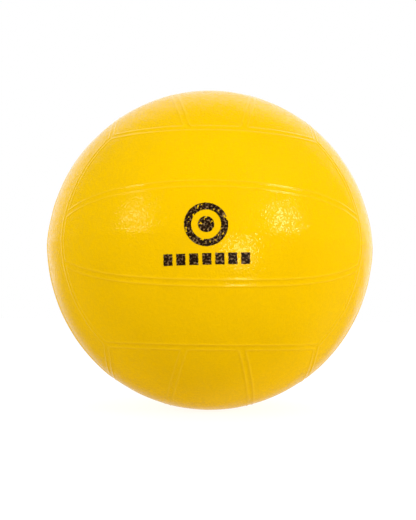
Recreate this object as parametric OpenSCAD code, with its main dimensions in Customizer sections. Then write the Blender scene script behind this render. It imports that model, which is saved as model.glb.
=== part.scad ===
// Moulded medicine ball, built up in layers: 18 cover panels over a ballast carcass, a thread
// winding and an air bladder. It stands on the flat that it settles onto. Z is up, the printed
// face looks along -Y, and the origin is the middle of the flat.

/* [Ball] */
// Height from pole to pole, square to the parting plane of the mould
pole_d = 216; // [190:1:240]
// How far beyond the parting plane each half's sphere has its centre
parting_offset = 2; // [0.5:0.1:3]
// Radius of the flat that the loaded ball settles onto
patch_r = 14; // [11:0.5:18]

/* [Panels] */
// Half the width of a middle panel, halfway along it
middle_half = 27.1; // [24:0.1:30]
// Half the width of a middle panel at its ends, round the sides
end_half = 14.2; // [12:0.1:20]
// The same on top and underneath
pole_end_half = 16; // [12:0.1:20]
// How much of the narrowing towards the ends is a bow, where 0 keeps each seam in one plane
division_bow = 0.5; // [0:0.05:1]
// The same on top and underneath
pole_division_bow = 0.2; // [0:0.05:1]
// Hairline between neighbouring panels
seam_gap = 0.1; // [0.05:0.01:0.2]
// Distance from a seam to the middle of the bead along it
bead_offset = 1.8; // [1.2:0.1:2.4]
// Width of a bead
bead_w = 1.3; // [0.8:0.1:1.6]
// Height of a bead
bead_h = 0.3; // [0.2:0.05:0.8]

/* [Layers] */
// Thickness of the cover panels
cover_t = 3; // [2:0.1:4]
// Thickness of the heavy ballast rubber
ballast_t = 5; // [3:0.1:8]
// Thickness of the thread winding
winding_t = 1.5; // [1:0.1:2.5]
// Thickness of the air bladder
bladder_t = 1.2; // [0.8:0.1:2]
// Cement line between neighbouring layers
bond_gap = 0.1; // [0.05:0.01:0.2]

/* [Valve] */
// Outer radius of the valve stem
stem_r = 5.5; // [5:0.1:7]
// Radius of the round flange that is cured to the inside of the bladder
flange_r = 17; // [14:0.5:20]
// Thickness of that flange
flange_t = 1.2; // [0.8:0.1:2]
// Radius of the replaceable valve core
core_r = 2.9; // [2.5:0.1:3.5]
// Radius of the head on the valve core
core_head_r = 4; // [3.8:0.1:4.4]
// Height of that head
core_head_h = 1.2; // [0.8:0.1:1.6]
// Length of the core below its head
core_len = 12; // [9:0.5:13]
// Radius of the passage that takes an inflating needle
needle_r = 1.05; // [1:0.05:1.2]
// Depth of that passage
needle_depth = 9; // [7:0.5:11]
// How far the stem and core stand below the cover's surface
valve_recess = 0.5; // [0.3:0.1:1]

/* [Print] */
// Outer radius of the printed ring
ring_r = 12; // [8:0.5:14]
// Width of the printed ring's line
ring_line = 4; // [2:0.5:5]
// Radius of the printed dot inside the ring
dot_r = 4.5; // [2:0.5:6]
// Number of printed blocks in the row
block_count = 7; // [3:1:9]
// Distance from one block to the next
block_pitch = 7; // [6:0.5:8]
// Width of a block
block_w = 5; // [3:0.5:5.5]
// Height of a block
block_h = 6.5; // [4:0.5:8]
// Sideways place of the whole print on the middle panel
print_x = -5.2; // [-10:0.1:10]
// Height of the ring's middle above the parting plane
ring_z = 4.2; // [0:0.1:6]
// Height of the row's middle above the parting plane
row_z = -14.5; // [-18:0.1:-12]
// Turn of the print, counterclockwise as it is read
print_turn = 2; // [-5:0.5:5]
// Thickness of the ink
ink_t = 0.1; // [0.05:0.01:0.2]

/* [Hidden] */
$fn = 144;

// Where the surfaces of the layers lie, out from the ball's centre
pole_r = pole_d / 2;
half_r = pole_r + parting_offset;
cover_in = pole_r - cover_t;
ballast_out = cover_in - bond_gap;
ballast_in = ballast_out - ballast_t;
winding_out = ballast_in - bond_gap;
winding_in = winding_out - winding_t;
bladder_out = winding_in - bond_gap;
bladder_in = bladder_out - bladder_t;
flange_out = bladder_in - bond_gap;
flange_in = flange_out - flange_t;

// Height of the ball's centre over the flat, by the chord of the lower half's sphere
centre_z = sqrt(half_r * half_r - patch_r * patch_r) - parting_offset;

// A face's outer seams lie in planes square to the axes, which meet on the ball's surface in the
// corner directions of a cube. seam_slant turns a distance along the surface there into one
// square to the plane.
corner_rise = 1 / sqrt(3);
corner_r = sqrt(pow(half_r, 2) - pow(parting_offset, 2) * (1 - pow(corner_rise, 2)))
  - parting_offset * corner_rise;
seam_plane = corner_r / sqrt(3);
seam_slant = sqrt(2 / 3);

// The two seams inside a face bow from $end at the outer seams to middle_half at division_top,
// where panel() sets $end and $bow for its face. They run in short planes between the stations,
// and on outward in the last of those planes.
division_top = sqrt(pole_r * pole_r - middle_half * middle_half);
division_stations = [0.75, 0.5, 0.25, 0];
function ends_share(x) = max(0, (division_top - x) / (division_top - seam_plane));
function division_y(x) = middle_half
  - (middle_half - $end) * ends_share(x) * (1 - $bow * (1 - ends_share(x)));
function division_slope(x) = (middle_half - $end) / (division_top - seam_plane)
  * (1 - $bow * (1 - 2 * ends_share(x)));

// Places along the valve's axis, above the ball's centre
valve_top = pole_r - valve_recess;
head_seat = valve_top - core_head_h;
needle_end = valve_top - needle_depth;
core_end = head_seat - core_len;
fit_gap = 0.05;
hole_gap = 0.15;

reach = 0.7 * pole_d;
cover_colour = [0.98, 0.80, 0.02];
ballast_colour = [0.25, 0.25, 0.27];
thread_colour = [0.88, 0.86, 0.80];
bladder_colour = [0.12, 0.12, 0.13];
valve_colour = [0.20, 0.20, 0.21];
core_colour = [0.93, 0.90, 0.82];
ink_colour = [0.13, 0.10, 0.07];

// ---- Form of the ball ----

// The outer form: two spheres whose centres lie across the parting plane, cut by the floor
module ball_form(grow = 0) {
  intersection() {
    translate([0, 0, -parting_offset]) rotate([0, 0, 25]) sphere(half_r + grow);
    translate([0, 0, parting_offset]) rotate([0, 0, 25]) sphere(half_r + grow);
    translate([-reach, -reach, -centre_z]) cube([2 * reach, 2 * reach, 2 * reach]);
  }
}

module round_layer(outside, inside) {
  difference() {
    sphere(outside);
    sphere(inside);
  }
}

module stand() {
  translate([0, 0, centre_z]) children();
}

// ---- Panels ----

// The seam beside a middle panel, from the outer seam outward, moved by inset towards side
function division_edge(inset, side) = [
  for (x = concat(
    [seam_plane + inset * seam_slant],
    [for (share = division_stations) division_top - share * (division_top - seam_plane)]
  ))
    [x, division_y(x) + side * inset * norm([1, division_slope(x)])],
  [reach, middle_half + division_slope(division_top) * (reach - division_top)
    + side * inset * norm([1, division_slope(division_top)])]
];

// Blocks of the +X face, whose panels run along Z: a plan drawn in X and Y, and extruded.
// inset moves every edge inward, measured along the ball's surface.
module middle_block(inset) {
  edge = division_edge(inset, -1);
  linear_extrude(2 * reach, center = true)
    polygon(concat(edge, [for (i = [len(edge) - 1 : -1 : 0]) [edge[i][0], -edge[i][1]]]));
}

module side_block(inset) {
  to = seam_plane - inset * seam_slant;
  linear_extrude(2 * reach, center = true)
    polygon(concat(
      division_edge(inset, 1),
      [[reach, to], [seam_plane + inset * seam_slant, to]]
    ));
}

// place is -1, 0 or 1: the block on the -Y side, in the middle or on the +Y side
module block(place, inset) {
  if (place == 0) middle_block(inset);
  else mirror([0, place < 0 ? 1 : 0, 0]) side_block(inset);
}

// Turns the +X face, with its panels' direction, onto another face
module on_face(face) {
  if (face == "right") children();
  if (face == "left") rotate([0, 0, 180]) children();
  if (face == "back") rotate(a = 120, v = [1, 1, 1]) children();
  if (face == "front") rotate([180, 0, 0]) rotate(a = 120, v = [1, 1, 1]) children();
  if (face == "top") rotate(a = 240, v = [1, 1, 1]) children();
  if (face == "bottom") rotate([0, 180, 0]) rotate(a = 240, v = [1, 1, 1]) children();
}

// One cover panel with a bead along each of its edges
module panel(face, place) {
  polar = face == "top" || face == "bottom";
  $end = polar ? pole_end_half : end_half;
  $bow = polar ? pole_division_bow : division_bow;
  color(cover_colour)
    stand()
      difference() {
        union() {
          intersection() {
            ball_form();
            on_face(face) block(place, seam_gap / 2);
          }
          intersection() {
            ball_form(bead_h);
            on_face(face)
              difference() {
                block(place, bead_offset - bead_w / 2);
                block(place, bead_offset + bead_w / 2);
              }
          }
        }
        sphere(cover_in);
        if (face == "top" && place == 0) valve_hole();
      }
}

// ---- Layers under the cover ----

module ballast_half(side) {
  color(ballast_colour)
    stand()
      difference() {
        intersection() {
          round_layer(ballast_out, ballast_in);
          mirror([0, 0, side < 0 ? 1 : 0])
            translate([-reach, -reach, bond_gap / 2]) cube([2 * reach, 2 * reach, reach]);
        }
        if (side > 0) valve_hole();
      }
}

module thread_winding() {
  color(thread_colour)
    stand()
      difference() {
        round_layer(winding_out, winding_in);
        valve_hole();
      }
}

module air_bladder() {
  color(bladder_colour)
    stand()
      difference() {
        round_layer(bladder_out, bladder_in);
        valve_hole();
      }
}

// ---- Valve, on the upper pole ----

module valve_hole() {
  cylinder(r = stem_r + hole_gap, h = reach);
}

module valve_stem() {
  color(valve_colour)
    stand()
      difference() {
        union() {
          intersection() {
            round_layer(flange_out, flange_in);
            cylinder(r = flange_r, h = reach);
          }
          translate([0, 0, flange_in]) cylinder(r = stem_r, h = valve_top - flange_in);
        }
        cylinder(r = core_r + fit_gap, h = reach);
        translate([0, 0, head_seat]) cylinder(r = core_head_r + fit_gap, h = reach);
      }
}

module valve_core() {
  color(core_colour)
    stand()
      difference() {
        union() {
          translate([0, 0, head_seat]) cylinder(r = core_head_r, h = core_head_h);
          translate([0, 0, core_end]) cylinder(r = core_r, h = core_len);
        }
        translate([0, 0, needle_end]) cylinder(r = needle_r, h = reach);
      }
}

// ---- Print on the front middle panel ----

// The print's outline, read from the front, as blocks that run in along +Y
module print_blocks() {
  translate([print_x, -reach, 0])
    rotate([0, -print_turn, 0]) {
      translate([0, 0, ring_z])
        rotate([-90, 0, 0])
          linear_extrude(reach) {
            difference() {
              circle(ring_r);
              circle(ring_r - ring_line);
            }
            circle(dot_r);
          }
      for (i = [0 : block_count - 1])
        translate([(i - (block_count - 1) / 2) * block_pitch - block_w / 2, 0, row_z - block_h / 2])
          cube([block_w, reach, block_h]);
    }
}

module front_print() {
  color(ink_colour)
    stand()
      intersection() {
        difference() {
          ball_form(seam_gap / 2 + ink_t);
          ball_form(seam_gap / 2);
        }
        print_blocks();
      }
}

panel("front", -1);  // front_upper_panel
panel("front", 0);  // front_middle_panel
panel("front", 1);  // front_lower_panel
panel("back", 1);  // back_upper_panel
panel("back", 0);  // back_middle_panel
panel("back", -1);  // back_lower_panel
panel("left", 1);  // left_front_panel
panel("left", 0);  // left_middle_panel
panel("left", -1);  // left_back_panel
panel("right", -1);  // right_front_panel
panel("right", 0);  // right_middle_panel
panel("right", 1);  // right_back_panel
panel("top", -1);  // top_left_panel
panel("top", 0);  // top_middle_panel
panel("top", 1);  // top_right_panel
panel("bottom", 1);  // bottom_left_panel
panel("bottom", 0);  // bottom_middle_panel
panel("bottom", -1);  // bottom_right_panel
ballast_half(1);  // upper_ballast_shell
ballast_half(-1);  // lower_ballast_shell
thread_winding();
air_bladder();
valve_stem();
valve_core();
front_print();
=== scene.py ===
"""Looks of the moulded medicine ball: grained cover panels with beaded seams, a broken ink print,
the valve and the layers inside, on a pale floor in soft studio light. Lengths are in metres."""

import math

import bpy
import numpy as np
from mathutils import Matrix, Vector


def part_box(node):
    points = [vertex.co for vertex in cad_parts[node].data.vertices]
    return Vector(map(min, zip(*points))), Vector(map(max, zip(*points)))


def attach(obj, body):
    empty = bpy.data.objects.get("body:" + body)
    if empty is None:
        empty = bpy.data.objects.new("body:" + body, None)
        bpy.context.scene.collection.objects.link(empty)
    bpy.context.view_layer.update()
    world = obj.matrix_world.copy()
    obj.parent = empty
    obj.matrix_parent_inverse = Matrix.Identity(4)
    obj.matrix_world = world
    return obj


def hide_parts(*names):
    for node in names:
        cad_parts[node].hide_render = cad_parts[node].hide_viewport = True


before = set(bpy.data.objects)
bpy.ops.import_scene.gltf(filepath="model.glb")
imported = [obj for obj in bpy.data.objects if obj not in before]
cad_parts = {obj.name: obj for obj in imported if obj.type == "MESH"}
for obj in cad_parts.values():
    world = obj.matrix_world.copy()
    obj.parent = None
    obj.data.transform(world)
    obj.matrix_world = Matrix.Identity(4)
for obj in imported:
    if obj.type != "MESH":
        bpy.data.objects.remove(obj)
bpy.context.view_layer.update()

MM = 0.001

# ---- Form of the ball, as the CAD part has it ----

POLE_R = 108 * MM  # centre to pole
RIDGE_H = 2 * MM  # how much fuller the ball is at its parting line
RIDGE_FADE = math.radians(24)  # latitude over which that fullness fades
RIDGE_SOFTNESS = math.radians(0.5)  # rounds the crease at the parting line
COVER_T = 3 * MM
MIDDLE_HALF = 27.1 * MM  # half width of a middle panel, halfway along it
END_HALF = 14.2 * MM  # and at its ends, round the sides
DIVISION_BOW = 0.5  # how much of that narrowing is a bow
POLE_END_HALF = 16 * MM  # the same on top and underneath
POLE_DIVISION_BOW = 0.2
SEAM_SLANT = math.sqrt(2 / 3)  # a distance square to an outer seam's plane over one along the surface

low, high = (np.array(corner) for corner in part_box("thread_winding"))
CENTRE = (low + high) / 2

# ---- Relief of the cover ----

BEAD_OFFSET = 1.8 * MM  # seam to the middle of the bead beside it
BEAD_SIGMA = 0.5 * MM
BEAD_H = 0.25 * MM
EDGE_DIP = 0.03 * MM  # how far a panel's edge rounds down into the seam
EDGE_SIGMA = 0.3 * MM
CORNER_ROUND = 0.5 * MM  # rounds the bead where it turns a panel's corner
GRAIN_PITCH = 1.9 * MM
GRAIN_H = 0.02 * MM
PEBBLE_REACH = 0.72  # squared distance from a pebble's middle, in pitches, where its valley begins
WAVE_H = 0.06 * MM  # slow unevenness of a moulded skin

# ---- Mesh density ----

FINE = 0.24 * MM  # between rows of the mesh beside a seam
COARSE = 0.56 * MM  # and in the middle of a panel
FINE_MARGIN = 3.4 * MM  # how far the fine rows reach in from a panel's edge
INNER_STEP = 6  # the unseen inside of a panel has one row for this many outside
PANEL_TURN = math.radians(100)  # rough angle along a panel, which sets its number of rows
SHARP_ANGLE = math.radians(50)  # edges sharper than this are shaded sharp

VALVE_HOLE_R = 5.65 * MM
VALVE_PATCH_STEPS = 3  # half the width of the mesh's own patch round the valve, in inside rows
VALVE_PATCH_ROWS = 12  # rings of mesh in that patch
VALVE_RIM_SIGMA = 0.4 * MM
VALVE_RIM_DIP = 0.35 * MM

# Each face's outward direction, the direction across its panels, and the direction along them
FACES = {
    "right": ((1, 0, 0), (0, 1, 0), (0, 0, 1)),
    "left": ((-1, 0, 0), (0, -1, 0), (0, 0, 1)),
    "back": ((0, 1, 0), (0, 0, 1), (1, 0, 0)),
    "front": ((0, -1, 0), (0, 0, -1), (1, 0, 0)),
    "top": ((0, 0, 1), (1, 0, 0), (0, 1, 0)),
    "bottom": ((0, 0, -1), (-1, 0, 0), (0, 1, 0)),
}

# A panel's face, and its side of the middle in the direction across
PANELS = {
    "front_upper_panel": ("front", -1),
    "front_middle_panel": ("front", 0),
    "front_lower_panel": ("front", 1),
    "back_upper_panel": ("back", 1),
    "back_middle_panel": ("back", 0),
    "back_lower_panel": ("back", -1),
    "left_front_panel": ("left", 1),
    "left_middle_panel": ("left", 0),
    "left_back_panel": ("left", -1),
    "right_front_panel": ("right", -1),
    "right_middle_panel": ("right", 0),
    "right_back_panel": ("right", 1),
    "top_left_panel": ("top", -1),
    "top_middle_panel": ("top", 0),
    "top_right_panel": ("top", 1),
    "bottom_left_panel": ("bottom", 1),
    "bottom_middle_panel": ("bottom", 0),
    "bottom_right_panel": ("bottom", -1),
}


def ball_radius(rise):
    """The cover's radius where the unit direction from the centre has this z."""
    latitude = np.arcsin(np.clip(np.abs(rise), 0, 1))
    softened = np.hypot(latitude, RIDGE_SOFTNESS) - RIDGE_SOFTNESS
    return POLE_R + RIDGE_H * np.exp(-softened / RIDGE_FADE)


CORNER_R = float(ball_radius(1 / math.sqrt(3)))
SEAM_PLANE = CORNER_R / math.sqrt(3)
DIVISION_TOP = math.sqrt(POLE_R**2 - MIDDLE_HALF**2)


# ---- Noise, the same on every run ----

CELL_FACTORS = np.array([73856093, 19349663, 83492791])  # mix a cell's three numbers into one
JITTER_FACTORS = (1103515245, 1140671485, 1664525)  # one for each number drawn from it
JITTER_STEP = 12345


def lattice_jitter(cells):
    """Three numbers from 0 to 1 for each integer cell."""
    mixed = cells.astype(np.int64) * CELL_FACTORS
    seed = (mixed[..., 0] ^ mixed[..., 1] ^ mixed[..., 2]) & 0x7FFFFFFF
    values = []
    for factor in JITTER_FACTORS:
        seed = (seed * factor + JITTER_STEP) & 0x7FFFFFFF
        values.append(((seed >> 7) & 0xFFFF) / 0xFFFF)
    return np.stack(values, axis=-1)


def pebbles(points, pitch):
    """1 on top of a pebble and about 0 in the valleys between them, at each point."""
    scaled = points / pitch
    home = np.floor(scaled).astype(np.int64)
    nearest = np.full(len(points), 9.0)
    steps = np.stack(np.meshgrid(*[(-1, 0, 1)] * 3, indexing="ij"), -1).reshape(-1, 3)
    for step in steps:
        cell = home + step
        gap = cell + lattice_jitter(cell) - scaled
        nearest = np.minimum(nearest, np.einsum("ij,ij->i", gap, gap))
    return np.clip(1 - nearest / PEBBLE_REACH, 0, 1)


def slow_waves(points):
    """A smooth unevenness between about -1 and 1."""
    total = np.zeros(len(points))
    for i in range(6):
        direction = np.array([math.sin(2.1 * i + 0.3), math.cos(1.7 * i), math.sin(3.3 * i + 1.1)])
        total += np.sin(points @ direction * (150 + 35 * i) + 1.9 * i)
    return total / 3


# ---- Cover panels ----


def graded(length, multiple):
    """Places from 0 to 1 along a length, close together near both ends."""
    places = np.linspace(0, length, 4001)
    near_start = np.exp(-((places / FINE_MARGIN) ** 4))
    near_end = near_start + np.exp(-(((length - places) / FINE_MARGIN) ** 4))
    density = 1 / COARSE + (1 / FINE - 1 / COARSE) * near_end
    count = np.concatenate([[0], np.cumsum((density[1:] + density[:-1]) / 2 * np.diff(places))])
    rows = math.ceil(count[-1] / multiple) * multiple
    return np.interp(np.linspace(0, count[-1], rows + 1), count, places / length)


class Sheet:
    """The outside of one panel, in the local axes of its face: x out, y across and z along."""

    def __init__(self, face, place):
        self.axes = np.array(FACES[face], float)
        self.place = place
        self.has_valve = face == "top" and place == 0
        polar = face in ("top", "bottom")
        self.end_half = POLE_END_HALF if polar else END_HALF
        self.bow = POLE_DIVISION_BOW if polar else DIVISION_BOW

    def division_y(self, x):
        """Where the seam beside a middle panel runs, across the face, at a height x out of it."""
        ends_share = (DIVISION_TOP - x) / (DIVISION_TOP - SEAM_PLANE)
        narrowing = (MIDDLE_HALF - self.end_half) * ends_share
        return MIDDLE_HALF - narrowing * (1 - self.bow * (1 - ends_share))

    def division_norm(self, x):
        """A distance across the face from that seam, over one square to it."""
        ends_share = (DIVISION_TOP - x) / (DIVISION_TOP - SEAM_PLANE)
        slope = (MIDDLE_HALF - self.end_half) / (DIVISION_TOP - SEAM_PLANE)
        return np.hypot(1, slope * (1 - self.bow * (1 - 2 * ends_share)))

    def world(self, local):
        """Local points in the shared frame."""
        return local @ self.axes + CENTRE

    def radius(self, x, y, z):
        """The cover's radius in the direction of these local points."""
        up = x * self.axes[0, 2] + y * self.axes[1, 2] + z * self.axes[2, 2]
        return ball_radius(up / np.sqrt(x * x + y * y + z * z))

    def across(self, s, x):
        """y at the share s of the panel's width, where the surface is x out."""
        if self.place == 0:
            return (2 * s - 1) * self.division_y(x)
        y = self.division_y(x) + s * (SEAM_PLANE - self.division_y(x))
        return self.place * y

    def surface(self, s, t):
        """Points on the smooth form at shares s of the width and t of the length."""
        end_y = self.across(s, SEAM_PLANE)
        radius = np.full_like(s, POLE_R)
        for _ in range(6):
            end_turn = np.arccos(SEAM_PLANE / np.sqrt(radius**2 - end_y**2))
            end_z = np.sqrt(radius**2 - end_y**2) * np.sin(end_turn)
            radius = self.radius(SEAM_PLANE, end_y, end_z)
        turn = (2 * t - 1) * end_turn
        radius = np.full_like(s, POLE_R)
        x = radius * np.cos(turn)
        for _ in range(12):
            y = self.across(s, x)
            flat = np.sqrt(radius**2 - y**2)
            x = flat * np.cos(turn)
            z = flat * np.sin(turn)
            radius = self.radius(x, y, z)
        return np.stack([x, y, z], axis=-1)

    def lift(self, y, z):
        """Points on the smooth form over these places across and along."""
        radius = np.full_like(y, POLE_R)
        for _ in range(8):
            x = np.sqrt(radius**2 - y**2 - z**2)
            radius = self.radius(x, y, z)
        return np.stack([x, y, z], axis=-1)

    def edge_distance(self, local):
        """Distance along the surface to the panel's own edge, rounded at its corners."""
        x, y = local[:, 0], local[:, 1]
        division, norm = self.division_y(x), self.division_norm(x)
        if self.place == 0:
            sides = [(division - y) / norm, (division + y) / norm]
        else:
            outward = self.place * y
            sides = [(outward - division) / norm, (SEAM_PLANE - outward) / SEAM_SLANT]
        sides.append((x - SEAM_PLANE) / SEAM_SLANT)
        nearness = sum(np.exp(-np.clip(d, 0, None) / CORNER_ROUND) for d in sides)
        return -CORNER_ROUND * np.log(np.clip(nearness, 1e-30, None))

    def relief(self, local):
        """How far the outside stands over the smooth form."""
        distance = self.edge_distance(local)
        bead = np.exp(-(((distance - BEAD_OFFSET) / BEAD_SIGMA) ** 2) / 2)
        edge = np.exp(-((np.clip(distance, 0, None) / EDGE_SIGMA) ** 2))
        grain = pebbles(local @ self.axes, GRAIN_PITCH)
        height = BEAD_H * bead - EDGE_DIP * edge
        height += GRAIN_H * (grain - 0.5) * (1 - 0.5 * bead)
        height += WAVE_H * slow_waves(local @ self.axes)
        if self.has_valve:
            rim = np.hypot(local[:, 1], local[:, 2]) - VALVE_HOLE_R
            height -= VALVE_RIM_DIP * np.exp(-((rim / VALVE_RIM_SIGMA) ** 2))
        return height, grain, bead

    def finished(self, local):
        """World points of the outside, with the pebble and bead shares there."""
        height, grain, bead = self.relief(local)
        length = np.linalg.norm(local, axis=1, keepdims=True)
        points = self.world(local * (1 + height[:, None] / length))
        points[:, 2] = np.maximum(points[:, 2], 0)
        return points, grain, bead

    def inside(self, local):
        """World points of the panel's plain inside, under points of its outside."""
        length = np.linalg.norm(local, axis=1, keepdims=True)
        return self.world(local * ((POLE_R - COVER_T) / length))


def rectangle_loop(i0, i1, j0, j1, step):
    """Grid places round a rectangle, one every step, as (i, j) pairs."""
    loop = [(i, j0) for i in range(i0, i1, step)]
    loop += [(i1, j) for j in range(j0, j1, step)]
    loop += [(i, j1) for i in range(i1, i0, -step)]
    loop += [(i0, j) for j in range(j1, j0, -step)]
    return loop


class MeshParts:
    """Collects points and faces of one closed panel."""

    def __init__(self):
        self.points, self.grain, self.bead, self.faces = [], [], [], []
        self.count = 0

    def add(self, points, grain=None, bead=None):
        """Takes in points and gives back their numbers."""
        n = len(points)
        self.points.append(points)
        self.grain.append(np.full(n, 0.5) if grain is None else grain)
        self.bead.append(np.zeros(n) if bead is None else bead)
        self.count += n
        return np.arange(self.count - n, self.count)

    def quads(self, grid, hole=None, inwards=False):
        """Faces over a grid of point numbers. hole is (i0, i1, j0, j1), left open."""
        a, b, c, d = grid[:-1, :-1], grid[1:, :-1], grid[1:, 1:], grid[:-1, 1:]
        faces = np.stack([d, c, b, a] if inwards else [a, b, c, d], axis=-1)
        keep = np.ones(faces.shape[:2], bool)
        if hole:
            keep[hole[0] : hole[1], hole[2] : hole[3]] = False
        self.faces.append(faces[keep])

    def band(self, outer, inner):
        """Faces between two closed loops. inner has one point for every few of outer."""
        step = len(outer) // len(inner)
        near = np.array(outer).reshape(-1, step)
        after = np.roll(near[:, 0], -1)
        faces = np.column_stack([near, after, np.roll(inner, -1), inner])
        self.faces.append(faces)


def panel_mesh(name, face, place):
    """One panel as a closed solid: grained outside, edge walls and a plain inside."""
    sheet = Sheet(face, place)
    width = 2 * MIDDLE_HALF if place == 0 else SEAM_PLANE - sheet.end_half
    length = PANEL_TURN * POLE_R
    s_places = graded(width, 2 * INNER_STEP)
    t_places = graded(length, 2 * INNER_STEP)
    rows, columns = len(s_places), len(t_places)
    s, t = np.meshgrid(s_places, t_places, indexing="ij")
    local = sheet.surface(s.ravel(), t.ravel())
    coarse = local.reshape(rows, columns, 3)[::INNER_STEP, ::INNER_STEP]

    parts = MeshParts()
    outside = parts.add(*sheet.finished(local)).reshape(rows, columns)
    inside = parts.add(sheet.inside(coarse.reshape(-1, 3))).reshape(coarse.shape[:2])
    hole = inner_hole = None
    if sheet.has_valve:
        reach = VALVE_PATCH_STEPS * INNER_STEP
        i, j = rows // 2, columns // 2
        hole = (i - reach, i + reach, j - reach, j + reach)
        inner_hole = tuple(edge // INNER_STEP for edge in hole)
    parts.quads(outside, hole)
    parts.quads(inside, inner_hole, inwards=True)

    edge = rectangle_loop(0, rows - 1, 0, columns - 1, 1)
    inner_edge = rectangle_loop(0, inside.shape[0] - 1, 0, inside.shape[1] - 1, 1)
    outer_loop = [outside[i, j] for i, j in edge][::-1]
    inner_loop = [inside[i, j] for i, j in inner_edge][::-1]
    parts.band(np.roll(outer_loop, 1), np.roll(inner_loop, 1))
    if sheet.has_valve:
        valve_rim(parts, sheet, local, outside, inside, hole, inner_hole)
    return build_object(name, parts, flipped=place < 0)


def valve_rim(parts, sheet, local, outside, inside, hole, inner_hole):
    """Fills the square left open round the valve, down to a round hole through the panel."""
    square = [outside[i, j] for i, j in rectangle_loop(*hole, 1)]
    inner_square = [inside[i, j] for i, j in rectangle_loop(*inner_hole, 1)]
    flat = local[square][:, 1:]
    ring = flat * (VALVE_HOLE_R / np.linalg.norm(flat, axis=1, keepdims=True))
    loops = [np.array(square)]
    for share in np.linspace(0, 1, VALVE_PATCH_ROWS + 1)[1:]:
        eased = 1 - (1 - share) ** 1.5
        place = flat + eased * (ring - flat)
        loops.append(parts.add(*sheet.finished(sheet.lift(place[:, 0], place[:, 1]))))
    for near, far in zip(loops, loops[1:]):
        parts.band(near, far)
    inner_ring = ring[::INNER_STEP]
    wall = parts.add(sheet.inside(sheet.lift(inner_ring[:, 0], inner_ring[:, 1])))
    parts.band(loops[-1], wall)
    parts.band(wall, np.array(inner_square))


def build_object(name, parts, flipped=False):
    """A smooth-shaded object from collected parts, with its pebble and bead shares stored."""
    points = np.concatenate(parts.points)
    used = np.zeros(len(points), bool)
    for faces in parts.faces:
        used[faces.ravel()] = True
    renumber = np.cumsum(used) - 1
    mesh = bpy.data.meshes.new(name)
    mesh.vertices.add(int(used.sum()))
    mesh.vertices.foreach_set("co", points[used].astype(np.float32).ravel())
    blocks = [renumber[faces[:, ::-1] if flipped else faces] for faces in parts.faces]
    sizes = np.concatenate([np.full(len(block), block.shape[1]) for block in blocks])
    corners = np.concatenate([block.ravel() for block in blocks])
    mesh.loops.add(len(corners))
    mesh.loops.foreach_set("vertex_index", corners.astype(np.int32))
    mesh.polygons.add(len(sizes))
    starts = np.concatenate([[0], np.cumsum(sizes)[:-1]])
    mesh.polygons.foreach_set("loop_start", starts.astype(np.int32))
    mesh.update(calc_edges=True)
    for label, values in (("grain", parts.grain), ("bead", parts.bead)):
        attribute = mesh.attributes.new(label, "FLOAT", "POINT")
        attribute.data.foreach_set("value", np.concatenate(values)[used].astype(np.float32))
    mesh.shade_smooth()
    mesh.set_sharp_from_angle(angle=SHARP_ANGLE)
    mesh.validate()
    piece = bpy.data.objects.new(name, mesh)
    bpy.context.scene.collection.objects.link(piece)
    return piece


# ---- Print ----

PRINT_X = -5.2 * MM  # sideways place of the print on the middle panel
PRINT_TURN = math.radians(2)
RING_Z = 4.2 * MM  # over the parting plane, before that turn
RING_R = 12 * MM
RING_LINE = 4 * MM
DOT_R = 4.5 * MM
ROW_Z = -14.5 * MM
BLOCK_COUNT = 7
BLOCK_PITCH = 7 * MM
BLOCK_W = 5 * MM
BLOCK_H = 6.5 * MM
INK_STEP = 0.2 * MM  # from one row of the film's mesh to the next
INK_LIFT = 0.06 * MM  # film over the cover
INK_T = 0.04 * MM
INK_RAGGED = 0.12 * MM  # how far its outline wanders
INK_GRAIN = 1.35 * MM  # pitch of the bare specks
INK_BARE = 0.035  # the cover stays bare where its pebbles are lower than this
INK_ROW_COVER = 0.12  # the blocks are printed more solidly than the ring
INK_EDGE_PITCH = 0.7 * MM  # pitch of the ragged outline

# A quad's four sides: the step to its neighbour there, and the two corners of that side
FILM_SIDES = (
    ((-1, 0), (0, 1), (0, 0)),
    ((1, 0), (1, 0), (1, 1)),
    ((0, -1), (0, 0), (1, 0)),
    ((0, 1), (1, 1), (0, 1)),
)


def print_depth(u, v):
    """How far inside the print's outline a place is, negative outside."""
    ring = RING_LINE / 2 - np.abs(np.hypot(u, v - RING_Z) - (RING_R - RING_LINE / 2))
    dot = DOT_R - np.hypot(u, v - RING_Z)
    nearest_block = np.clip(np.round(u / BLOCK_PITCH + (BLOCK_COUNT - 1) / 2), 0, BLOCK_COUNT - 1)
    off = u - (nearest_block - (BLOCK_COUNT - 1) / 2) * BLOCK_PITCH
    block = np.minimum(BLOCK_W / 2 - np.abs(off), BLOCK_H / 2 - np.abs(v - ROW_Z))
    return np.maximum(np.maximum(ring, dot), block)


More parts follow.
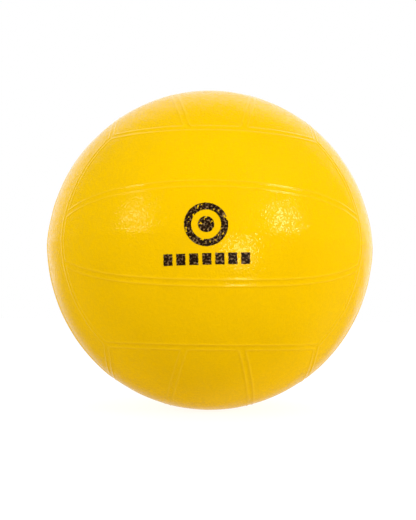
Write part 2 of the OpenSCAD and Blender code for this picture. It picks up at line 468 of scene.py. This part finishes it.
def print_mesh():
    """The ink film, which follows the grain and is broken where the pebbles fall away."""
    sheet = Sheet("front", 0)
    half = (BLOCK_COUNT / 2) * BLOCK_PITCH
    u_places = np.arange(-half, half, INK_STEP)
    v_places = np.arange(ROW_Z - BLOCK_H, RING_Z + RING_R + 2 * INK_STEP, INK_STEP)
    u, v = np.meshgrid(u_places, v_places, indexing="ij")
    world_x = PRINT_X + u * math.cos(PRINT_TURN) - v * math.sin(PRINT_TURN)
    world_z = u * math.sin(PRINT_TURN) + v * math.cos(PRINT_TURN)
    local = sheet.lift(-world_z.ravel(), world_x.ravel())
    points, grain, _ = sheet.finished(local)
    outward = (points - CENTRE) / np.linalg.norm(points - CENTRE, axis=1, keepdims=True)
    speck = pebbles(local @ sheet.axes, INK_EDGE_PITCH)
    inked = print_depth(u, v).ravel() - INK_RAGGED * (0.5 - speck)
    bare = pebbles(local @ sheet.axes, INK_GRAIN)
    in_row = v.ravel() < (ROW_Z + RING_Z - RING_R) / 2
    worn = bare + INK_ROW_COVER * in_row
    grid_shape = u.shape
    corner_inked = ((inked > 0) & (worn > INK_BARE)).reshape(grid_shape)
    keep = corner_inked[:-1, :-1] & corner_inked[1:, 1:]
    parts = MeshParts()
    top = parts.add(points + outward * (INK_LIFT + INK_T), grain).reshape(grid_shape)
    under = parts.add(points + outward * INK_LIFT, grain).reshape(grid_shape)
    for level, order in ((top, 1), (under, -1)):
        quads = np.stack([level[:-1, :-1], level[1:, :-1], level[1:, 1:], level[:-1, 1:]], -1)
        parts.faces.append(quads[keep][:, ::order])
    padded = np.pad(keep, 1)
    for (di, dj), a, b in FILM_SIDES:
        beside = padded[1 + di : padded.shape[0] - 1 + di, 1 + dj : padded.shape[1] - 1 + dj]
        i, j = np.nonzero(keep & ~beside)
        first, second = (i + a[0], j + a[1]), (i + b[0], j + b[1])
        parts.faces.append(np.stack([top[second], top[first], under[first], under[second]], -1))
    return build_object("ink_print", parts)


# ---- Materials ----

PVC_COLOURS = ((0.725, 0.436, 0.0), (0.755, 0.456, 0.0))  # its slow drift
PVC_VALLEY_SHADE = (0.985, 0.975, 0.96)  # painted shade: darkens the colour between the pebbles
PVC_RUBBED = (0.90, 0.58, 0.06)  # on top of the beads
PVC_GLOSS_TINT = (1.0, 0.5, 0.25)
PEBBLE_PITCH = 1.4 * MM
PEBBLE_VALLEY = 0.22  # share of the pitch that the valleys take up
GLINT_PITCH = 1.15 * MM  # size of the patches that shine more or less than others
# pitch of the pale specks in the ink's colour, which are painted glints
INK_PAINTED_GLINT_PITCH = 1.05 * MM
BLACK = (0.0, 0.0, 0.0)
WHITE = (1.0, 1.0, 1.0)


class Nodes:
    """Builds one material: a Principled shader, and procedural patterns in object coordinates."""

    def __init__(self, name, roughness, specular=0.5):
        self.material = bpy.data.materials.new(name)
        self.material.use_nodes = True
        self.tree = self.material.node_tree
        self.shader = self.tree.nodes["Principled BSDF"]
        self.shader.inputs["Roughness"].default_value = roughness
        self.shader.inputs["Specular IOR Level"].default_value = specular
        self.position = self.add("ShaderNodeTexCoord").outputs["Object"]

    def add(self, kind, **settings):
        node = self.tree.nodes.new(kind)
        for key, value in settings.items():
            setattr(node, key, value)
        return node

    def link(self, source, target):
        self.tree.links.new(source, target)

    def noise(self, scale, detail=3.0, roughness=0.5):
        """Cloudy grey, with this many clouds to a metre."""
        node = self.add("ShaderNodeTexNoise")
        node.inputs["Scale"].default_value = scale
        node.inputs["Detail"].default_value = detail
        node.inputs["Roughness"].default_value = roughness
        self.link(self.position, node.inputs["Vector"])
        return node.outputs["Fac"]

    def cells(self, pitch):
        """Squared distance to the nearest of scattered points: low on a pebble, high between."""
        node = self.add("ShaderNodeTexVoronoi", feature="SMOOTH_F1")
        node.inputs["Scale"].default_value = 1 / pitch
        node.inputs["Smoothness"].default_value = 0.4
        self.link(self.position, node.inputs["Vector"])
        square = self.add("ShaderNodeMath", operation="MULTIPLY")
        self.link(node.outputs["Distance"], square.inputs[0])
        self.link(node.outputs["Distance"], square.inputs[1])
        return square.outputs[0]

    def plateaus(self, pitch, valley):
        """1 on flat-topped pebbles, falling to 0 in the valleys between them."""
        node = self.add("ShaderNodeTexVoronoi", feature="DISTANCE_TO_EDGE")
        node.inputs["Scale"].default_value = 1 / pitch
        self.link(self.position, node.inputs["Vector"])
        rise = self.add("ShaderNodeMapRange", interpolation_type="SMOOTHSTEP")
        rise.inputs["From Max"].default_value = valley
        self.link(node.outputs["Distance"], rise.inputs["Value"])
        return rise.outputs["Result"]

    def scattered(self, pitch):
        """A random grey for each pebble."""
        node = self.add("ShaderNodeTexVoronoi", feature="F1")
        node.inputs["Scale"].default_value = 1 / pitch
        self.link(self.position, node.inputs["Vector"])
        parts = self.add("ShaderNodeSeparateColor")
        self.link(node.outputs["Color"], parts.inputs["Color"])
        return parts.outputs["Red"]

    def stored(self, name):
        """A share stored on the mesh."""
        return self.add("ShaderNodeAttribute", attribute_name=name).outputs["Fac"]

    def ramp(self, source, stops):
        """Colours or greys by (place, colour or grey) stops."""
        node = self.add("ShaderNodeValToRGB")
        elements = node.color_ramp.elements
        while len(elements) < len(stops):
            elements.new(0.5)
        for element, (place, colour) in zip(elements, stops):
            element.position = place
            element.color = (*colour, 1) if isinstance(colour, tuple) else (colour, colour, colour, 1)
        self.link(source, node.inputs["Fac"])
        return node.outputs["Color"]

    def mix(self, share, first, second, blend="MIX"):
        """The second over the first by a share. Each is a node's output or a constant."""
        node = self.add("ShaderNodeMix", data_type="RGBA", blend_type=blend)
        for value, socket in ((share, node.inputs[0]), (first, node.inputs[6]), (second, node.inputs[7])):
            if isinstance(value, (int, float)):
                socket.default_value = value
            elif isinstance(value, tuple):
                socket.default_value = (*value, 1)
            else:
                self.link(value, socket)
        return node.outputs[2]

    def bump(self, layers, strength=None):
        """Bumps from (height, distance) layers, one on another."""
        normal = None
        for height, distance in layers:
            node = self.add("ShaderNodeBump")
            node.inputs["Distance"].default_value = distance
            self.link(height, node.inputs["Height"])
            if strength:
                self.link(strength, node.inputs["Strength"])
            if normal:
                self.link(normal, node.inputs["Normal"])
            normal = node.outputs["Normal"]
        self.link(normal, self.shader.inputs["Normal"])

    def colour(self, source):
        self.link(source, self.shader.inputs["Base Color"])

    def rough(self, source):
        self.link(source, self.shader.inputs["Roughness"])


def cover_material():
    """Glossy yellow PVC: slow colour drift, painted shade darkening the grain's valleys, rubbed beads."""
    n = Nodes("yellow_pvc", 0.13, 0.18)
    bead = n.stored("bead")
    drift = n.ramp(n.noise(28, 3), [(0.3, PVC_COLOURS[0]), (0.7, PVC_COLOURS[1])])
    # Painted shade: the colour darkens where the stored pebble share falls into the valleys
    valleys = n.ramp(n.stored("grain"), [(0.0, PVC_VALLEY_SHADE), (0.45, WHITE)])
    drift_with_valley_shade = n.mix(1.0, drift, valleys, "MULTIPLY")
    n.colour(n.mix(n.ramp(bead, [(0.55, 0.0), (1.0, 0.10)]), drift_with_valley_shade, PVC_RUBBED))
    # Gloss: pebbles shine unevenly, while the beads are worn to one sheen
    n.shader.inputs["Specular Tint"].default_value = (*PVC_GLOSS_TINT, 1)
    facing = n.add("ShaderNodeLayerWeight").outputs["Facing"]
    sheen = n.ramp(facing, [(0.3, 0.36), (0.6, 0.16)])
    uneven = n.ramp(n.scattered(GLINT_PITCH), [(0.35, 0.12), (0.65, 1.0)])
    glints = n.mix(n.ramp(bead, [(0.1, 0.0), (0.7, 1.0)]), uneven, (0.8, 0.8, 0.8))
    n.link(n.mix(1.0, sheen, glints, "MULTIPLY"), n.shader.inputs["Specular IOR Level"])
    n.rough(n.ramp(n.noise(420, 4), [(0.25, 0.11), (0.75, 0.17)]))
    # Grain, fainter on the beads
    strength = n.ramp(bead, [(0.1, 0.8), (0.8, 0.3)])
    pebbled = n.plateaus(PEBBLE_PITCH, PEBBLE_VALLEY)
    n.bump([(pebbled, 0.02 * MM), (n.noise(950, 0), 0.15 * MM)], strength)
    return n.material


def ink_material():
    """Brown-black screen ink. It thins on the grain, and the pale specks in its colour are painted
    glints; the yellow shows only where the film itself is broken.
    """
    n = Nodes("screen_ink", 0.4, 0.035)
    body = n.ramp(n.noise(700, 4, 0.6), [(0.35, (0.003, 0.001, 0.0)), (0.7, (0.026, 0.009, 0.001))])
    # Painted glints: pale grey-brown specks in the ink's colour, where its small cells meet
    specks = n.ramp(n.cells(INK_PAINTED_GLINT_PITCH), [(0.28, BLACK), (0.6, (0.165, 0.105, 0.047))])
    n.colour(n.mix(1.0, body, specks, "ADD"))
    n.rough(n.ramp(n.noise(500, 3), [(0.3, 0.34), (0.7, 0.46)]))
    pebbled = n.plateaus(PEBBLE_PITCH, PEBBLE_VALLEY)
    n.bump([(pebbled, 0.03 * MM), (n.noise(1800, 3), 0.02 * MM)])
    return n.material


def rubber_material(name, dark, light, roughness, grain_scale, bump):
    """Plain rubber with a fine grain, of so many grains to a metre."""
    n = Nodes(name, roughness, 0.4)
    n.colour(n.ramp(n.noise(grain_scale, 4), [(0.3, dark), (0.7, light)]))
    n.rough(n.ramp(n.noise(grain_scale * 2, 3), [(0.3, roughness - 0.08), (0.7, roughness + 0.08)]))
    n.bump([(n.noise(grain_scale * 4, 4), bump)])
    return n.material


def thread_material():
    """Nylon thread in crossing layers, with painted shade that darkens its colour in the grooves between
    the bands.
    """
    n = Nodes("nylon_thread", 0.45, 0.4)
    wave = n.add("ShaderNodeTexWave", wave_type="BANDS", bands_direction="DIAGONAL")
    wave.inputs["Scale"].default_value = 420
    wave.inputs["Distortion"].default_value = 2.5
    wave.inputs["Detail"].default_value = 2
    n.link(n.position, wave.inputs["Vector"])
    # Painted shade: the colour follows the bands' height, darker in the grooves between them
    n.colour(n.ramp(wave.outputs["Fac"], [(0.1, (0.34, 0.31, 0.24)), (0.6, (0.80, 0.77, 0.68))]))
    n.bump([(wave.outputs["Fac"], 0.15 * MM), (n.noise(1500, 3), 0.03 * MM)])
    return n.material


def floor_material():
    """Pale grey with a glow of its own, so that it runs into the backdrop."""
    n = Nodes("pale_floor", 0.7, 0.0)
    n.colour(n.ramp(n.noise(6, 2), [(0.3, 0.19), (0.7, 0.20)]))
    n.shader.inputs["Emission Color"].default_value = (*WHITE, 1)
    n.shader.inputs["Emission Strength"].default_value = FLOOR_GLOW
    return n.material


def dress(piece, material):
    """Gives a piece this one material."""
    piece.data.materials.clear()
    piece.data.materials.append(material)


# ---- Assembly ----


def add_cover():
    """The 18 panels, each in place of its plain CAD solid."""
    material = cover_material()
    for node, (face, place) in PANELS.items():
        piece = panel_mesh("cover_" + node, face, place)
        dress(piece, material)
        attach(piece, "ball")
        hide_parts(node)


def add_print():
    """The ink film, in place of its plain CAD solid."""
    piece = print_mesh()
    dress(piece, ink_material())
    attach(piece, "ball")
    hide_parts("front_print")


# Each rubber's darkest and lightest colour, roughness, grains to a metre and height of bump
RUBBERS = {
    "ballast_rubber": ((0.035, 0.035, 0.038), (0.075, 0.075, 0.08), 0.7, 260, 0.08 * MM),
    "butyl_rubber": ((0.018, 0.018, 0.02), (0.04, 0.04, 0.042), 0.45, 120, 0.03 * MM),
    "valve_rubber": ((0.02, 0.02, 0.021), (0.045, 0.045, 0.046), 0.5, 900, 0.02 * MM),
    "core_rubber": ((0.72, 0.67, 0.52), (0.84, 0.80, 0.68), 0.42, 800, 0.015 * MM),
}


def dress_inner_parts():
    """Materials for the pieces that keep the CAD part's own form."""
    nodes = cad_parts
    rubbers = {name: rubber_material(name, *values) for name, values in RUBBERS.items()}
    dress(nodes["upper_ballast_shell"], rubbers["ballast_rubber"])
    dress(nodes["lower_ballast_shell"], rubbers["ballast_rubber"])
    dress(nodes["thread_winding"], thread_material())
    dress(nodes["air_bladder"], rubbers["butyl_rubber"])
    dress(nodes["valve_stem"], rubbers["valve_rubber"])
    dress(nodes["valve_core"], rubbers["core_rubber"])


# ---- Stage, light and camera ----

FLOOR_R = 6.0
FLOOR_DROP = 0.05 * MM
FLOOR_GLOW = 0.86  # keeps the floor as white as the backdrop
FRONT_LIGHT = 0.755  # brightness of the room on the camera's side
BACK_LIGHT = 0.76
TABLE_LIGHT = 0.2  # how much more comes from underneath
BELOW_TINT = (1.0, 0.86, 0.62)  # and its warmth
MIRRORED_ROOM = 0.14  # share of the room's light that shows in gloss
BACKDROP_LIGHT = 1.8
BACKDROP_RISE = math.radians(19)  # how far over the horizon the backdrop's middle is
BACKDROP_EDGE = (0.58, 0.77)  # cosine of the angle from its middle where it begins
BACKDROP_BELOW = 0.4  # share of its light well under the horizon
BACKDROP_LOW = (-0.4, 0.06)  # heights on the unit sphere between which that share rises to all
ROOM_DEPTH = (-1, 0.6)  # depths on it between which the front's light turns into the back's
CAMERA_DISTANCE = 485.6 * MM
CAMERA_YAW = math.radians(-1.70)  # round from the front towards +X
CAMERA_ELEVATION = math.radians(-5.19)
CAMERA_ROLL = math.radians(-0.65)
SENSOR_H = 24  # in millimetres, as Blender has it
LENS = 32.2739
SHIFT_X = -0.00325  # in heights of the picture
SHIFT_Y = -0.01873


def direction(azimuth, elevation):
    """Unit vector from the ball: azimuth 0 is the front, -Y, and turns towards +X."""
    return np.array([
        math.sin(azimuth) * math.cos(elevation),
        -math.cos(azimuth) * math.cos(elevation),
        math.sin(elevation),
    ])


def add_floor():
    """A wide round floor, which sends no light or shadow back to the ball."""
    steps = 96
    turns = np.linspace(0, 2 * math.pi, steps, endpoint=False)
    points = [(FLOOR_R * math.cos(a), FLOOR_R * math.sin(a), -FLOOR_DROP) for a in turns]
    mesh = bpy.data.meshes.new("floor")
    mesh.from_pydata(points, [], [list(range(steps))])
    floor = bpy.data.objects.new("floor", mesh)
    bpy.context.scene.collection.objects.link(floor)
    dress(floor, floor_material())
    floor.visible_diffuse = floor.visible_glossy = floor.visible_shadow = False


class World:
    """Small helper over the world's node tree."""

    def __init__(self, name):
        world = bpy.data.worlds.new(name)
        bpy.context.scene.world = world
        world.use_nodes = True
        self.tree = world.node_tree
        self.tree.nodes.clear()

    def add(self, kind, **settings):
        node = self.tree.nodes.new(kind)
        for key, value in settings.items():
            setattr(node, key, value)
        return node

    def link(self, source, target):
        self.tree.links.new(source, target)

    def change(self, source, span, first, last, kind="LINEAR"):
        """Turns a source that goes over the span into a number that goes from first to last."""
        node = self.add("ShaderNodeMapRange", interpolation_type=kind)
        for name, value in zip(("From Min", "From Max", "To Min", "To Max"), (*span, first, last)):
            node.inputs[name].default_value = value
        self.link(source, node.inputs["Value"])
        return node.outputs["Result"]

    def combine(self, operation, *terms):
        """One sum of outputs and constants."""
        node = self.add("ShaderNodeMath", operation=operation)
        for socket, term in zip(node.inputs, terms):
            if isinstance(term, (int, float)):
                socket.default_value = term
            else:
                self.link(term, socket)
        return node.outputs[0]


def backdrop_light(w, heading, height):
    """The light of a bright round backdrop behind the ball, dimmer under the horizon."""
    towards = w.add("ShaderNodeVectorMath", operation="DOT_PRODUCT")
    w.link(heading, towards.inputs[0])
    towards.inputs[1].default_value = (0, math.cos(BACKDROP_RISE), math.sin(BACKDROP_RISE))
    middle = towards.outputs["Value"]
    extra = w.change(middle, BACKDROP_EDGE, 0, BACKDROP_LIGHT - BACK_LIGHT, "SMOOTHSTEP")
    return w.combine("MULTIPLY", extra, w.change(height, BACKDROP_LOW, BACKDROP_BELOW, 1, "SMOOTHSTEP"))


def add_world():
    """White to the camera. As light: a bright backdrop behind the ball and a soft room round it."""
    w = World("studio")
    heading = w.add("ShaderNodeTexCoord").outputs["Generated"]
    split = w.add("ShaderNodeSeparateXYZ")
    w.link(heading, split.inputs[0])
    depth, height = split.outputs["Y"], split.outputs["Z"]
    ray = w.add("ShaderNodeLightPath")
    room = w.combine(
        "ADD",
        w.change(depth, ROOM_DEPTH, FRONT_LIGHT, BACK_LIGHT),
        w.change(height, (-1, 0), TABLE_LIGHT, 0),
    )
    dimming = w.combine("MULTIPLY_ADD", ray.outputs["Is Glossy Ray"], MIRRORED_ROOM - 1, 1)
    brightness = w.combine("MULTIPLY_ADD", room, dimming, backdrop_light(w, heading, height))
    tint = w.add("ShaderNodeMix", data_type="RGBA")
    tint.inputs[6].default_value = (*WHITE, 1)
    tint.inputs[7].default_value = (*BELOW_TINT, 1)
    w.link(w.change(height, (0, -1), 0, 1), tint.inputs[0])
    light = w.add("ShaderNodeBackground")
    w.link(tint.outputs[2], light.inputs["Color"])
    w.link(brightness, light.inputs["Strength"])
    seen = w.add("ShaderNodeBackground")
    seen.inputs["Color"].default_value = (*WHITE, 1)
    blend = w.add("ShaderNodeMixShader")
    w.link(ray.outputs["Is Camera Ray"], blend.inputs[0])
    w.link(light.outputs[0], blend.inputs[1])
    w.link(seen.outputs[0], blend.inputs[2])
    w.link(blend.outputs[0], w.add("ShaderNodeOutputWorld").inputs[0])


# Each lamp either lights the ball or only shows in its gloss. After that come its azimuth and
# elevation in degrees, its distance, its width and height, its power and its colour.
LAMPS = {
    "left_fill": ("light", -51, 16.5, 1.2, (0.36, 0.34), 4.6, WHITE),
    "left_softbox": ("gloss", -50.5, 17.6, 1.2, (0.27, 0.24), 2.7, WHITE),
    "right_fill": ("light", 45, 16.5, 1.2, (0.36, 0.34), 5.6, WHITE),
    "right_softbox": ("gloss", 46, 17.2, 1.2, (0.26, 0.26), 5.6, WHITE),
    "near_lamp": ("gloss", 16, -7.5, 0.45, (0.10, 0.09), 0.6, WHITE),
    "key_fill": ("light", 40, 34, 1.5, (1.2, 1.2), 5.8, WHITE),
    "under_rim": ("light", 165, -50, 1.0, (0.5, 0.5), 5.8, BELOW_TINT),
    "left_rim": ("light", -122, 5, 1.0, (0.5, 0.5), 2.3, WHITE),
    "right_rim": ("light", 110, -25, 1.0, (0.5, 0.5), 2.3, WHITE),
}


def add_lamp(name, use, azimuth, elevation, distance, size, power, colour):
    """A rectangular lamp that faces the ball."""
    light = bpy.data.lights.new(name, "AREA")
    light.shape = "RECTANGLE"
    light.size, light.size_y = size
    light.energy = power
    light.color = colour
    lamp = bpy.data.objects.new(name, light)
    bpy.context.scene.collection.objects.link(lamp)
    away = direction(math.radians(azimuth), math.radians(elevation))
    lamp.location = CENTRE + away * distance
    lamp.rotation_euler = Vector(away).to_track_quat("Z", "Y").to_euler()
    lamp.visible_diffuse = use == "light"
    lamp.visible_glossy = use == "gloss"


def add_lamps():
    """The room's fills, and the softboxes that the gloss mirrors."""
    for name, values in LAMPS.items():
        add_lamp(name, *values)


def add_camera():
    """The camera, in front of the ball and looking up at it a little."""
    camera = bpy.data.cameras.new("camera")
    camera.sensor_fit = "VERTICAL"
    camera.sensor_height = SENSOR_H
    camera.lens = LENS
    camera.shift_x = SHIFT_X
    camera.shift_y = SHIFT_Y
    camera.clip_start = 0.01
    seat = bpy.data.objects.new("camera", camera)
    bpy.context.scene.collection.objects.link(seat)
    away = direction(CAMERA_YAW, CAMERA_ELEVATION)
    turn = Vector(away).to_track_quat("Z", "Y").to_matrix().to_4x4()
    roll = Matrix.Rotation(-CAMERA_ROLL, 4, "Z")
    seat.matrix_world = Matrix.Translation(CENTRE + away * CAMERA_DISTANCE) @ turn @ roll
    bpy.context.scene.camera = seat


add_cover()
add_print()
dress_inner_parts()
add_floor()
add_world()
add_lamps()
add_camera()
bpy.context.scene.view_settings.view_transform = "Standard"
